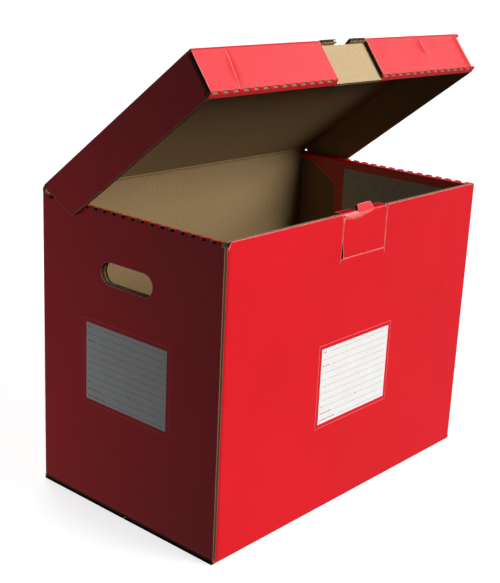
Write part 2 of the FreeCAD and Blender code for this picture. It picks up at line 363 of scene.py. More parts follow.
class Board(Mesh):
    """A sheet of board lying flat: printed face at 0, kraft face at minus its thickness.
    Outline points are (a, b, kind of the edge that starts there), counter-clockwise, and
    holes are clockwise.  Lines are creases pressed into the printed face, dents are
    (centre, reach, depth), and white is the outline of a field printed white."""

    def __init__(self, outline, holes=(), flute_axis=0, step=(GRID, GRID), lines=(), dents=(), white=()):
        super().__init__(flute_axis)
        self.step = step
        self.lines = list(lines)
        self.white = white
        self.edges = {"raw": list(lines), "fold": [], "butt": []}
        self.sides = [self.add_side(loop) for loop in (outline, *holes)]
        self.fill_face(printed=True)
        self.fill_face(printed=False)
        for loop in (outline, *holes):
            for run, closed in cut_runs(loop):
                self.add_flutes(*flute_spots(run, closed, flute_axis), closed)
        self.press(dents)

    def add_spot(self, place, depth, wear):
        """A point this far below the printed face."""
        return self.add_point((place[0], place[1], -depth), (place[0], place[1], depth), wear)

    def add_side(self, loop):
        """The thickness of the board round one loop.  The first point's number comes back,
        with the places of the outermost rows, which border the printed and the kraft face."""
        points, kinds = divided(loop, min(self.step))
        count, first = len(points), len(self.points)
        rows = []
        for row in range(8):
            places = []
            for i, point in enumerate(points):
                normals = (outward(points[i - 1], point), outward(point, points[(i + 1) % count]))
                pair = (kinds[i - 1], kinds[i])
                places.append(inset_point(point, normals, [EDGE_ROWS[kind][row][0] for kind in pair]))
                self.add_spot(places[-1], corner_depth(pair, row), max(EDGE_WEAR[kind] for kind in pair))
            rows.append(places)
        for row in range(7):
            for i, kind in enumerate(kinds):
                here, there = (first + row * count + k for k in (i, (i + 1) % count))
                self.add_face((here, here + count, there + count, there), ROW_KINDS[kind][row])
        for i, kind in enumerate(kinds):
            self.edges[kind].append((points[i], points[(i + 1) % count]))
        return first, rows[0], rows[7]

    def wear_at(self, spot):
        """Wear of the print, which fades away from the cut and folded edges."""
        wear = 0.0
        for kind in ("raw", "fold"):
            gap = distance_to(np.array([tuple(spot)]), self.edges[kind])[0]
            wear = max(wear, EDGE_WEAR[kind] * (1 - gap / WEAR_REACH))
        return wear

    def borders(self, loops):
        """The lines that the printed face's triangles have to follow."""
        pairs = [pair for line in self.lines for pair in beside_crease(line)]
        pairs += [clear_part(self.white[i - 1], spot, loops) for i, spot in enumerate(self.white)]
        return [piece for start, end in pairs for piece in in_pieces(start, end, min(self.step))]

    def kind_at(self, centre, printed):
        if not printed:
            return KRAFT
        white = self.white and inside(np.array([centre]), [self.white])[0]
        return WHITE if white else PRINTED

    def fill_face(self, printed):
        """Triangulate one face of the board between its sides."""
        row = 0 if printed else 7
        loops = [side[2 if row else 1] for side in self.sides]
        borders = self.borders(loops) if printed else []
        points, numbers, edges = [], [], []
        for (first, _, _), loop in zip(self.sides, loops):
            count, start = len(loop), len(points)
            edges += [(start + i, start + (i + 1) % count) for i in range(count)]
            numbers += [first + row * count + i for i in range(count)]
            points += [Vector(place) for place in loop]
        points += [Vector(place) for place in face_grid(loops, self.step, borders)]
        for start, end in borders:
            edges.append((len(points), len(points) + 1))
            points += [start, end]
        found, _, triangles, origins, _, _ = delaunay_2d_cdt(points, edges, [], 1, 1e-5)
        vertices = []
        for spot, origin in zip(found, origins):
            own = [i for i in origin if i < len(numbers)]
            depth = 0.0 if printed else BOARD
            vertices.append(numbers[own[0]] if own else self.add_spot(spot, depth, self.wear_at(spot)))
        centres = np.array([np.mean([found[i] for i in triangle], axis=0) for triangle in triangles])
        for triangle, centre, kept in zip(triangles, centres, inside(centres, loops)):
            face = [vertices[i] for i in triangle]
            if kept and len(set(face)) == 3:
                self.add_face(face if printed else face[::-1], self.kind_at(centre, printed))

    def add_flutes(self, spots, normals, closed):
        """The wavy paper that shows between the liners along a cut edge."""
        swing = BOARD / 2 - LINER - MEDIUM_HALF + MEDIUM_BITE
        stations = []
        for spot, normal in zip(spots, normals):
            station = []
            for inset in (0.3, RECESS + 0.3):
                place = spot - normal * inset
                height = BOARD / 2 + swing * math.sin(2 * math.pi * place[self.flute_axis] / FLUTE_PITCH)
                station += [self.add_spot(place, height + side, FLUTE_WEAR)
                            for side in (-MEDIUM_HALF, MEDIUM_HALF)]
            stations.append([station[i] for i in (0, 1, 3, 2)])
        pairs = list(zip(stations, stations[1:])) + ([(stations[-1], stations[0])] if closed else [])
        for here, there in pairs:
            for i in range(4):
                self.add_face((here[i - 1], there[i - 1], there[i], here[i]), RAW)
        if not closed:
            self.add_face(stations[0], RAW)
            self.add_face(stations[-1][::-1], RAW)

    def press(self, dents):
        """Push the board in along its creases and inside its soft dents."""
        spots = np.array(self.points)[:, :2]
        sunk = np.zeros(len(spots))
        if self.lines:
            sunk += CREASE_DEPTH * np.exp(-(distance_to(spots, self.lines) / CREASE_WIDTH) ** 2)
        for centre, reach, depth in dents:
            away = (spots - centre) / reach
            sunk += depth * np.exp(-(away ** 2).sum(axis=1))
        self.points = [(a, b, up - down) for (a, b, up), down in zip(self.points, sunk)]


# ---------------------------------------------------------------- materials


class Look:
    """A material being made, with the place on the blank that its patterns follow."""

    def __init__(self, name, roughness=0.5, specular=0.5):
        self.material = bpy.data.materials.new(name)
        self.material.use_nodes = True
        self.tree = self.material.node_tree
        self.shader = self.tree.nodes["Principled BSDF"]
        self.shader.inputs["Roughness"].default_value = roughness
        self.shader.inputs["Specular IOR Level"].default_value = specular
        self.blank = self.attribute("blank", "Vector")

    def attribute(self, name, output="Fac"):
        return add_node(self.tree, "ShaderNodeAttribute", {"attribute_name": name}).outputs[output]

    def noise(self, scale, detail=3.0, rough=0.55, vector=None):
        node = add_node(self.tree, "ShaderNodeTexNoise", None,
                        {"Vector": vector or self.blank, "Scale": scale, "Detail": detail,
                         "Roughness": rough})
        return node.outputs["Fac"]

    def span(self, value, low, high, to_low=0.0, to_high=1.0):
        node = add_node(self.tree, "ShaderNodeMapRange", {"clamp": True},
                        {"Value": value, "From Min": low, "From Max": high,
                         "To Min": to_low, "To Max": to_high})
        return node.outputs["Result"]

    def maths(self, what, first, second):
        return add_node(self.tree, "ShaderNodeMath", {"operation": what}, {0: first, 1: second}).outputs[0]

    def times(self, first, second):
        return self.maths("MULTIPLY", first, second)

    def mix(self, factor, first, second):
        """Colour that goes from the first to the second as the factor rises."""
        first, second = ((*c, 1) if isinstance(c, tuple) else c for c in (first, second))
        node = add_node(self.tree, "ShaderNodeMix", {"data_type": "RGBA"},
                        {"Factor": factor, 6: first, 7: second})
        return node.outputs[2]

    def flutes(self):
        """A wave that follows the flutes under the liner."""
        return self.maths("SINE", self.times(self.attribute("flute"), 2 * math.pi), 0.0)

    def bump(self, height, strength=1.0, distance=MM):
        node = add_node(self.tree, "ShaderNodeBump", None,
                        {"Strength": strength, "Distance": distance, "Height": height})
        self.tree.links.new(node.outputs["Normal"], self.shader.inputs["Normal"])

    def relief(self, flute_depth, grain_depth):
        """The flutes telegraph through the liner as soft ribs, under a fine paper grain."""
        patchy = self.span(self.noise(22.0, 2.0), 0.35, 0.65, 0.45, 1.0)
        ribs = self.times(self.times(self.flutes(), patchy), flute_depth)
        grain = self.times(self.noise(900.0, 4.0, 0.7), grain_depth)
        rolling = self.times(self.noise(45.0, 2.0), grain_depth * 2.2)
        self.bump(self.maths("ADD", self.maths("ADD", ribs, grain), rolling))

    def finish(self, colour):
        self.tree.links.new(colour, self.shader.inputs["Base Color"])
        return self.material


def add_node(tree, kind, settings=None, inputs=None):
    node = tree.nodes.new(kind)
    for key, value in (settings or {}).items():
        setattr(node, key, value)
    for key, value in (inputs or {}).items():
        if isinstance(value, bpy.types.NodeSocket):
            tree.links.new(value, node.inputs[key])
        else:
            node.inputs[key].default_value = value
    return node


RED_INK = (0.77, 0.008, 0.017)
RED_DEEP = (0.70, 0.007, 0.013)
RED_PALE = (0.86, 0.10, 0.11)
RED_WORN = (0.90, 0.36, 0.34)
KRAFT_LIGHT = (0.62, 0.47, 0.29)
KRAFT_DARK = (0.49, 0.35, 0.19)
KRAFT_FLECK = (0.2, 0.12, 0.06)
# Kraft darkened below the plain kraft colour above: painted shade for kraft faces inside the box and under
# the lid.
PAINTED_SHADE_KRAFT_LIGHT = (0.37, 0.26, 0.13)
PAINTED_SHADE_KRAFT_DARK = (0.27, 0.18, 0.085)


def printed_board():
    """Red ink on board: cloudy, ribbed by the flutes, and worn pale along edges and folds."""
    look = Look("printed_board")
    colour = look.mix(look.span(look.noise(9.0, 4.0), 0.3, 0.7), RED_DEEP, RED_INK)
    mottle = look.span(look.noise(260.0, 3.0, 0.7), 0.55, 0.8, 0.0, 0.07)
    colour = look.mix(mottle, colour, RED_PALE)
    colour = look.mix(look.span(look.flutes(), -1.0, 1.0, 0.0, 0.06), colour, RED_DEEP)
    wear = look.attribute("wear")
    scuffed = look.times(look.maths("POWER", wear, 5.0),
                         look.span(look.noise(130.0, 5.0, 0.7), 0.42, 0.62))
    colour = look.mix(look.span(scuffed, 0.25, 0.9, 0.0, 0.4), colour, RED_PALE)
    rubbed = look.times(look.span(wear, 0.86, 0.97), look.span(look.noise(160.0), 0.3, 0.6, 0.2, 0.6))
    colour = look.mix(rubbed, colour, RED_WORN)
    torn = look.times(look.maths("POWER", wear, 9.0),
                      look.span(look.noise(85.0, 6.0, 0.75), 0.6, 0.66))
    colour = look.mix(look.span(torn, 0.5, 0.8, 0.0, 0.8), colour, KRAFT_LIGHT)
    matt = look.span(look.noise(30.0), 0.3, 0.7, 0.3, 0.38)
    look.tree.links.new(matt, look.shader.inputs["Roughness"])
    look.shader.inputs["Coat Weight"].default_value = 0.3
    look.shader.inputs["Coat Roughness"].default_value = 0.3
    look.relief(0.010, 0.009)
    return look.finish(colour)


def kraft_colour(look, light, dark):
    """Fibre streaks a few millimetres long, soft clouds and dark flecks."""
    stretched = add_node(look.tree, "ShaderNodeMapping", {"vector_type": "POINT"},
                         {"Vector": look.blank, "Scale": (420.0, 1500.0, 900.0)}).outputs["Vector"]
    colour = look.mix(look.span(look.noise(1.0, 4.0, 0.65, stretched), 0.36, 0.66), dark, light)
    colour = look.mix(look.span(look.noise(14.0, 4.0), 0.35, 0.7, 0.0, 0.4), colour, dark)
    return look.mix(look.span(look.noise(700.0, 2.0), 0.68, 0.74, 0.0, 0.4), colour, KRAFT_FLECK)


def kraft_board(name, light, dark):
    look = Look(name, 0.82, 0.25)
    colour = kraft_colour(look, light, dark)
    colour = look.mix(look.span(look.flutes(), -1.0, 1.0, 0.0, 0.12), colour, dark)
    look.relief(0.022, 0.02)
    return look.finish(colour)


def raw_edge(name, light, dark):
    """Cut edges: the liners' cores and the fluted paper."""
    look = Look(name, 0.9, 0.15)
    look.bump(look.noise(1400.0, 4.0, 0.7), 0.6, 0.06 * MM)
    return look.finish(kraft_colour(look, light, dark))


# White ink coloured a dim bluish grey, as painted shade: the white field is printed only on the inner
# panels, inside the box.
def white_print_painted_shade():
    look = Look("white_print_painted_shade", 0.6)
    patch = look.span(look.noise(120.0, 5.0, 0.6), 0.35, 0.7)
    look.relief(0.014, 0.010)
    return look.finish(look.mix(patch, (0.57, 0.66, 0.71), (0.48, 0.55, 0.58)))


def label_paper():
    look = Look("label_paper", 0.62)
    patch = look.span(look.noise(60.0, 4.0), 0.3, 0.7)
    look.relief(0.02, 0.006)
    return look.finish(look.mix(patch, (0.86, 0.845, 0.83), (0.81, 0.80, 0.78)))


def thin_ink(name, colour, faded):
    """Printed lines: ink that breaks up slightly over the paper grain."""
    look = Look(name, 0.6)
    return look.finish(look.mix(look.span(look.noise(500.0), 0.4, 0.7), colour, faded))


PRINTED_BOARD = printed_board()
KRAFT_BOARD = kraft_board("kraft_board", KRAFT_LIGHT, KRAFT_DARK)
KRAFT_PAINTED_SHADE = kraft_board("kraft_inside_painted_shade", PAINTED_SHADE_KRAFT_LIGHT, PAINTED_SHADE_KRAFT_DARK)
RAW_EDGE = raw_edge("raw_edge", (0.36, 0.26, 0.16), (0.22, 0.15, 0.085))
# Cut edges coloured near black, as painted shade: used for the slits in the end rims and the long bottom
# flaps' ends under the end walls.
PAINTED_SHADE_EDGE = raw_edge("cut_edge_painted_shade", (0.055, 0.045, 0.036), (0.03, 0.025, 0.02))
WHITE_PRINT_PAINTED_SHADE = white_print_painted_shade()
LABEL_PAPER = label_paper()
RULE_INK = thin_ink("rule_ink", (0.34, 0.31, 0.31), (0.48, 0.45, 0.44))
CAPTION_INK = thin_ink("caption_ink", (0.50, 0.10, 0.11), (0.62, 0.25, 0.25))
FRAME_INK = thin_ink("frame_ink", (0.82, 0.20, 0.22), (0.76, 0.10, 0.12))

# One material for each kind of face: PRINTED, KRAFT, RAW and WHITE.
# The board materials give every kraft face the darkened kraft, as painted shade.
BOARD_MATERIALS = (PRINTED_BOARD, KRAFT_PAINTED_SHADE, RAW_EDGE, WHITE_PRINT_PAINTED_SHADE)
# The same with the plain kraft colour, without painted shade.
UNSHADED_KRAFT_MATERIALS = (PRINTED_BOARD, KRAFT_BOARD, RAW_EDGE, WHITE_PRINT_PAINTED_SHADE)
# The same with near-black cut edges, as painted shade.
PAINTED_SHADE_EDGE_MATERIALS = (PRINTED_BOARD, KRAFT_PAINTED_SHADE, PAINTED_SHADE_EDGE, WHITE_PRINT_PAINTED_SHADE)

# ---------------------------------------------------------------- from flat board to object

# Which way the flat board's first and second direction go on each side.
PLANES = {
    "front": (Vector((1, 0, 0)), Vector((0, 0, 1))),
    "back": (Vector((-1, 0, 0)), Vector((0, 0, 1))),
    "left": (Vector((0, -1, 0)), Vector((0, 0, 1))),
    "right": (Vector((0, 1, 0)), Vector((0, 0, 1))),
    "up": (Vector((1, 0, 0)), Vector((0, 1, 0))),
    "down": (Vector((1, 0, 0)), Vector((0, -1, 0))),
}
AS_MADE = Matrix.Identity(4)


def facing(side, level):
    """Matrix that stands a flat board with its printed face on that side, at that level."""
    across, along = PLANES[side]
    normal = across.cross(along)
    axes = Matrix((across, along, normal)).transposed().to_4x4()
    return Matrix.Translation(normal * level) @ axes


def bow(places, half):
    """1 in the middle between two corners, 0 at them."""
    return 1 - np.clip(places / half, -1, 1) ** 2


def settle_box(co):
    """The walls of the box sag inwards a little between their corners."""
    x, y, z = co.T
    rise = np.clip(z / BOX_TOP, 0, 1)
    height = np.sin(math.pi * rise) * 0.9 + 0.35 * rise ** 2
    sag_y = 0.75 * height * bow(x, HALF_LENGTH) * np.clip(np.abs(y) / HALF_WIDTH, 0, 1) ** 8
    sag_x = 0.5 * height * bow(y, HALF_WIDTH) * np.clip(np.abs(x) / HALF_LENGTH, 0, 1) ** 8
    return np.array([x - np.sign(x) * sag_x, y - np.sign(y) * sag_y, z]).T * MM


def settle_lid(co):
    """The cap bows up between its corners.  Points are from the hinge line, with the lid shut,
    and come back where the open lid has them."""
    x, y, z = co.T
    depth = np.clip(-y / LID_DEPTH, 0, 1)
    middle = bow(x, LID_HALF)
    co = np.array([x, y - 0.5 * middle * depth ** 6, z + 0.7 * middle * depth * (1.6 - depth)]).T
    return co @ np.array(LID_REST.to_3x3()).T * MM + np.array(LID_REST.translation)


def no_settling(co):
    return co * MM


def set_attribute(data, name, kind, values, of="value"):
    data.attributes.new(name, kind, "POINT").data.foreach_set(of, np.array(values, np.float32).ravel())


def build(name, mesh, place, nodes=(), body="box_body", materials=BOARD_MATERIALS,
          slot="printed_board", settle=settle_box, blend=None):
    """Turn gathered points and faces into a finished piece that moves with its body; a piece given a blend
    is left fixed where it is built instead.  A blend is (first body, second body, start, end)."""
    co = settle(np.array([place @ Vector(point) for point in mesh.points]))
    blank = np.array(mesh.blank, np.float32)
    data = bpy.data.meshes.new(name)
    data.from_pydata([tuple(point) for point in co], [], mesh.faces)
    for material in materials:
        data.materials.append(material)
    data.polygons.foreach_set("material_index", mesh.kinds)
    set_attribute(data, "blank", "FLOAT_VECTOR", blank * MM, "vector")
    set_attribute(data, "flute", "FLOAT", blank[:, mesh.flute_axis] / FLUTE_PITCH)
    set_attribute(data, "wear", "FLOAT", mesh.wear)
    data.validate()
    data.shade_smooth()
    data.set_sharp_from_angle(angle=math.radians(32))
    data.update()
    piece = bpy.data.objects.new(name, data)
    bpy.context.scene.collection.objects.link(piece)
    if blend:
        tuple(blend[2])
        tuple(blend[3])
        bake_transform(piece)
    else:
        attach(piece, body)
    if nodes:
        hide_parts(*nodes)


def put(name, mesh, side, level, *nodes, **how):
    """Build a piece from a flat board that stands on that side, at that level."""
    build(name, mesh, facing(side, level), nodes, **how)


def put_lid(name, mesh, side, level, *nodes, **how):
    """The same on the lid, seen as if it were shut."""
    put(name, mesh, side, level, *nodes, body="lid", settle=settle_lid, **how)


# ---------------------------------------------------------------- walls of the box

BACK_STRIP = 8.0  # the lid's crease takes up this much below the hinge line
SEAM_STRIP = 4.0  # the lock flap's crease takes up this much below and above
LOCK_SILL = LOCK_CREASE - SEAM_STRIP
LOCK_SEAM = LOCK_CREASE + SEAM_STRIP
SLIT_HALF = LOCK_HALF + 0.8
CORNER_CUT = (3.6, 6.5)
FRONT_DENTS = (((130, 238), (5, 26), 0.8), ((137, 250), (22, 30), 0.5), ((-90, 60), (60, 40), 0.35))
HAND_HOLE = stadium(66, 21, 233)
TAB_TAPER = 22.0
BASE_GAP = 0.4  # half the gap between the two long bottom flaps


def front_wall():
    left, right = BOARD - HALF_LENGTH, HALF_LENGTH
    outline = [
        (left, BOARD, "butt"), (right, BOARD, "fold"), (right, BOX_TOP, "raw"),
        (SLIT_HALF, BOX_TOP, "raw"), (SLIT_HALF, LOCK_SILL, "butt"), (-SLIT_HALF, LOCK_SILL, "raw"),
        (-SLIT_HALF, BOX_TOP, "raw"), (left + CORNER_CUT[0], BOX_TOP, "raw"),
        (left, BOX_TOP - CORNER_CUT[1], "fold")]
    put("front_wall_board", Board(outline, dents=FRONT_DENTS), "front", HALF_WIDTH, "front_wall")


def back_wall():
    wall = rectangle(-HALF_LENGTH, BOARD, HALF_LENGTH, HINGE_HEIGHT - BACK_STRIP, "butt fold butt fold")
    put("back_wall_board", Board(wall), "back", HALF_WIDTH, "back_wall")


def outer_ends():
    rear = HALF_WIDTH - BOARD
    left = [(-rear, BOARD, "fold"), (HALF_WIDTH, BOARD, "raw"), (HALF_WIDTH, WALL_TOP, "raw"),
            (rear, WALL_TOP, "butt"), (-rear, WALL_TOP, "butt")]
    put("left_end_board", Board(left, [HAND_HOLE]), "left", HALF_LENGTH, "left_end_outer")
    right = rectangle(-rear, BOARD, rear, WALL_TOP, "fold butt butt butt")
    put("right_end_board", Board(right, [HAND_HOLE]), "right", HALF_LENGTH, "right_end_outer")


def glue_tab():
    low, high = corners("glue_tab")
    outline = [(-high.y, low.z + TAB_TAPER, "raw"), (-low.y, low.z, "butt"), (-low.y, high.z, "raw"),
               (-high.y, high.z - TAB_TAPER, "raw")]
    put("glue_tab_board", Board(outline), "left", -low.x, "glue_tab")


def bottom_flaps():
    front = rectangle(-HALF_LENGTH, BASE_GAP, HALF_LENGTH, HALF_WIDTH, "raw raw fold raw")
    back = rectangle(-HALF_LENGTH, -HALF_WIDTH, HALF_LENGTH, -BASE_GAP, "fold raw raw raw")
    for side, outline in (("front", front), ("back", back)):
        # The long flaps' cut ends, under the end walls, are near black as painted shade.
        put("bottom_%s_board" % side, Board(outline), "down", 0, "bottom_%s_flap" % side,
            materials=PAINTED_SHADE_EDGE_MATERIALS)
    low, high = corners("bottom_right_flap")
    right = rectangle(low.x, -high.y, high.x, high.y, "raw butt raw raw")
    left = rectangle(-high.x, -high.y, -low.x, high.y, "raw raw raw butt")
    for side, outline in (("right", right), ("left", left)):
        put("bottom_%s_board" % side, Board(outline, flute_axis=1), "down", -low.z,
            "bottom_%s_flap" % side)


# ---------------------------------------------------------------- doubled ends

# Half-widths of an inner panel and its crease: below the shoulders, at the neck, at the top.
PANEL_HALF, NECK_HALF, CREASE_HALF = 60, 98, 111
PANEL_LOW, SHOULDER_LOW = 8, 260
SHOULDER_SLOPE = (NECK_HALF - PANEL_HALF) / 22
INNER_SEAM = WALL_TOP - 6.4
NECK_TOP = WALL_TOP - 4.4
# Corners of the white field on the right inner panel: (towards the front, up).
WHITE_FIELD = ((-48, 279.4), (-48, 120), (52, 120), (84, 262), (84, 279.4))


def inner_panels():
    top = NECK_HALF - SHOULDER_SLOPE * (NECK_TOP - INNER_SEAM)
    panel = [(-PANEL_HALF, PANEL_LOW, "raw"), (PANEL_HALF, PANEL_LOW, "raw"),
             (PANEL_HALF, SHOULDER_LOW, "raw"), (top, INNER_SEAM, "butt"),
             (-top, INNER_SEAM, "raw"), (-PANEL_HALF, SHOULDER_LOW, "raw")]
    strip = [(-top, INNER_SEAM, "butt"), (top, INNER_SEAM, "raw"), (NECK_HALF, NECK_TOP, "raw"),
             (CREASE_HALF, NECK_TOP, "raw"), (CREASE_HALF, WALL_TOP, "butt"),
             (-CREASE_HALF, WALL_TOP, "raw"), (-CREASE_HALF, NECK_TOP, "raw"),
             (-NECK_HALF, NECK_TOP, "raw")]
    for side, faces, sign in (("left", "right", -1), ("right", "left", 1)):
        white = [(sign * towards_front, up) for towards_front, up in WHITE_FIELD]
        body = side + "_inner_panel"
        put(side + "_inner_board", Board(panel, [HAND_HOLE], white=white), faces, -INNER_FACE,
            side + "_end_inner", body=body)
        x = sign * INNER_FACE * MM
        bend = ("box_body", body, (x, 0, WALL_TOP * MM), (x, 0, (INNER_SEAM - 0.5) * MM))
        put(side + "_inner_crease", Board(strip, step=(GRID, 2.0)), faces, -INNER_FACE, blend=bend)


def loft(stations, kind_at):
    """A closed mesh through rings of (place, place on the blank, wear), one ring a station."""
    mesh = Mesh()
    rings = [[mesh.add_point(*point) for point in ring] for ring in stations]
    for s, (here, there) in enumerate(zip(rings, rings[1:])):
        for i in range(len(here)):
            j = (i + 1) % len(here)
            mesh.add_face((here[i], here[j], there[j], there[i]), kind_at(s, i))
    mesh.add_face(rings[0][::-1], RAW)
    mesh.add_face(rings[-1], RAW)
    return mesh


# Half-sections of a doubled edge from its outer face: (across, below its outermost level).
# A bridge is where the liner runs round the crease, a cut is where a slit goes through it.
END_BRIDGE = ((0, 3.6), (0, 2.4), (0.35, 1.2), (1.1, 0.35), (2.4, 0), (3.6, 0.3), (4.6, 0.8))
END_CUT = ((0, 3.6), (0, 3.0), (0.3, 2.8), (1.6, 2.8), (2.2, 2.6), (2.7, 1.3), (4.4, 0.9))
END_INNER = 1.4
LID_BRIDGE = ((0, 3.6), (0, 3.0), (0.3, 2.3), (1.0, 1.75), (2.2, 1.3), (3.2, 1.0), (4.2, 0.7))
LID_CUT = ((0, 3.6), (0.05, 2.9), (1.3, 2.9), (1.6, 2.4), (1.8, 1.9), (2.2, 1.35), (4.2, 0.75))
LID_INNER = 0.0
CUT_KINDS = (PRINTED, RAW, RAW, RAW, RAW, PRINTED, PRINTED)
BRIDGE_KINDS = (PRINTED,) * 7
INNER_RADIUS = 1.6
SLIT_PITCH, SLIT_LENGTH, SLIT_RAMP = 12, 6, 0.35
BRIDGE_WEAR, CUT_WEAR, INNER_WEAR = 0.7, 0.8, 0.3


def rim_section(profile, kinds, width, inner_level):
    """The half-section carried on to the fold at the inner face, with the kind of each stretch."""
    points = [(across, below, kind) for (across, below), kind in zip(profile, kinds)]
    for turn in FOLD_TURNS:
        points.append((width - INNER_RADIUS * (1 - math.sin(turn)),
                       inner_level + INNER_RADIUS * (1 - math.cos(turn)), PRINTED))
    points.append((width, BOARD, KRAFT))
    return points


def rim_stations(half, first_slit, slits):
    """(place along the rim, whether a slit is open there) from end to end."""
    inner = []
    for i in range(slits):
        start = first_slit + i * SLIT_PITCH
        end = start + SLIT_LENGTH
        inner += [(start - (SLIT_PITCH - SLIT_LENGTH) / 2, False), (start - SLIT_RAMP, False),
                  (start + SLIT_RAMP, True), (start + SLIT_LENGTH / 2, True),
                  (end - SLIT_RAMP, True), (end + SLIT_RAMP, False)]
    inner = [station for station in inner if -half + 0.01 < station[0] < half - 0.01]
    return [(-half, False), *inner, (half, False)]


def rim_mesh(stations, bridge, cut, to_point, flip=False):
    """Loft of the two sections along a rim.  Flip keeps the faces outward on a mirrored rim."""
    rings, sections = [], []
    for along, is_open in stations:
        sections.append(cut if is_open else bridge)
        ring = []
        for across, below, _ in sections[-1]:
            wear = INNER_WEAR if across > 4.5 else (CUT_WEAR if is_open else BRIDGE_WEAR)
            ring.append((to_point(along, across, below), (along, across, below), wear))
        rings.append(ring[::-1] if flip else ring)
    count = len(bridge)

    def kind_at(s, i):
        j = (count - 2 - i) % count if flip else i
        return max(sections[s][j][2], sections[s + 1][j][2])

    return loft(rings, kind_at)


def end_rims():
    """Turned-over tops of the end walls, cut through at intervals along the outer crease."""
    width = HALF_LENGTH - INNER_FACE
    bridge = rim_section(END_BRIDGE, BRIDGE_KINDS, width, END_INNER)
    cut = rim_section(END_CUT, CUT_KINDS, width, END_INNER)
    slits = 18
    stations = rim_stations(HALF_WIDTH - BOARD, (SLIT_LENGTH - slits * SLIT_PITCH) / 2, slits)
    for side, sign in (("left", -1), ("right", 1)):

        def to_point(along, across, below, sign=sign):
            return (sign * (HALF_LENGTH - across), along, BOX_TOP - below)

        # The rims' slits and cut ends are near black, as painted shade.
        build(side + "_rim_board", rim_mesh(stations, bridge, cut, to_point, sign > 0), AS_MADE,
              [side + "_end_rim"], materials=PAINTED_SHADE_EDGE_MATERIALS)


# ---------------------------------------------------------------- lock flap

LOCK_EDGE = LOCK_HALF + 0.45
WEDGE = -LOCK_EDGE + 2.6  # the flap's lower left corner is cut off from here
WEDGE_HEIGHT = 15.0
RUBBED_AT = (-15.0, 291.0)
TONGUE_HALF = 11.8
TONGUE_RISE = 8.2
TONGUE_LEAN = math.radians(24)


def lock_flap():
    top = BOX_TOP - BOARD
    outline = [(WEDGE, LOCK_SEAM, "butt"), (LOCK_EDGE, LOCK_SEAM, "raw"), (LOCK_EDGE, top, "butt"),
               (-LOCK_EDGE, top, "raw"), (-LOCK_EDGE, LOCK_CREASE + WEDGE_HEIGHT, "raw")]
    mesh = Board(outline, step=(5.0, 4.0))
    mesh.rub(RUBBED_AT, (42, 13))
    put("lock_flap_board", mesh, "front", HALF_WIDTH, "lock_flap", body="lock")


def lock_crease():
    """The strip of board along the crease where the lock flap folds out; it is built fixed in place."""
    slit_top = LOCK_CREASE - 0.6
    strip = [(-SLIT_HALF, LOCK_SILL, "butt"), (SLIT_HALF, LOCK_SILL, "butt"),
             (SLIT_HALF, slit_top, "raw"), (LOCK_EDGE, LOCK_CREASE, "raw"),
             (LOCK_EDGE, LOCK_SEAM, "butt"), (WEDGE, LOCK_SEAM, "raw"), (WEDGE, LOCK_CREASE, "raw"),
             (-SLIT_HALF, slit_top, "butt")]
    groove = [((WEDGE + 1.2, LOCK_CREASE), (LOCK_EDGE - 1.2, LOCK_CREASE))]
    start, end = ((0, -HALF_WIDTH * MM, (LOCK_CREASE + side) * MM) for side in (-2.0, 2.0))
    put("lock_flap_crease_board", Board(strip, step=(GRID, 1.6), lines=groove), "front", HALF_WIDTH,
        blend=("box_body", "lock", start, end))


def lock_strip():
    """Top of the lock flap, turned in either side of the tongue."""
    half, side = LOCK_EDGE, TONGUE_HALF + 0.5
    outline = [(-half, 0, "fold"), (half, 0, "raw"), (half, 10.6, "raw"), (half * 0.72, 11.6, "raw"),
               (side, 11.0, "raw"), (side, 3.4, "raw"), (-side, 3.4, "raw"), (-side, 11.8, "raw"),
               (-half * 0.7, 11.2, "raw"), (-half, 11.9, "raw")]
    mesh = Board(outline, step=(GRID, 4.0))
    mesh.rub((RUBBED_AT[0], 0), (42, 5))
    build("lock_strip_board", mesh, Matrix.Translation((0, -HALF_WIDTH, BOX_TOP)), ["lock_strip"], "lock")


def lock_tongue():
    """Tab left standing where the strip folds in, leaning back over it."""
    half, rise = TONGUE_HALF, TONGUE_RISE
    outline = [(-half, 0, "butt"), (half, 0, "raw"), (half - 0.5, rise * 0.55, "raw"),
               (half - 1.6, rise * 0.9, "raw"), (half - 3.4, rise, "raw"),
               (-half + 2.6, rise - 0.3, "raw"), (-half + 1.0, rise * 0.82, "raw"),
               (-half + 0.3, rise * 0.5, "raw")]
    place = (Matrix.Translation((0, -HALF_WIDTH + 0.2, BOX_TOP - 1.4))
             @ Matrix.Rotation(-TONGUE_LEAN, 4, "X") @ facing("front", 0))
    build("lock_tongue_board", Board(outline, step=(4.0, 4.0)), place, ["lock_tongue"], "lock")


# ---------------------------------------------------------------- lid

LID_STRIP = 5.0  # the crease takes up this much of the lid's top
LID_NECK = 191.4
# The lid flanges start this far from the hinge line, and slope away from it by the taper.
LEFT_START, LEFT_TAPER = SETBACK + 5.0, 19.0
RIGHT_START, RIGHT_TAPER = SETBACK - 3.0, 9.0
NOTCH_FRONT = 10.0
NOTCH_REAR = 18.0
NOTCH_DEPTH = 20.0
FRONT_LOW, FRONT_HIGH = BOARD - FLANGE, -BOARD
PLY_BACK = PLY_FRONT - BOARD
WINDOW_PLAY = 0.4


def lid_top():
    half, front = LID_HALF, -LID_DEPTH
    outline = [
        (-half, front, "fold"), (-WINDOW_HALF, front, "raw"), (-NOTCH_FRONT, front, "raw"),
        (-NOTCH_REAR, front + NOTCH_DEPTH, "raw"), (NOTCH_REAR, front + NOTCH_DEPTH, "raw"),
        (NOTCH_FRONT, front, "raw"), (WINDOW_HALF, front, "fold"), (half, front, "fold"),
        (half, -RIGHT_START - 2, "raw"), (LID_NECK, -LID_STRIP, "butt"),
        (-LID_NECK, -LID_STRIP, "raw"), (-half, -LEFT_START - 2, "fold")]
    put_lid("lid_top_board", Board(outline), "up", 0, "lid_top")


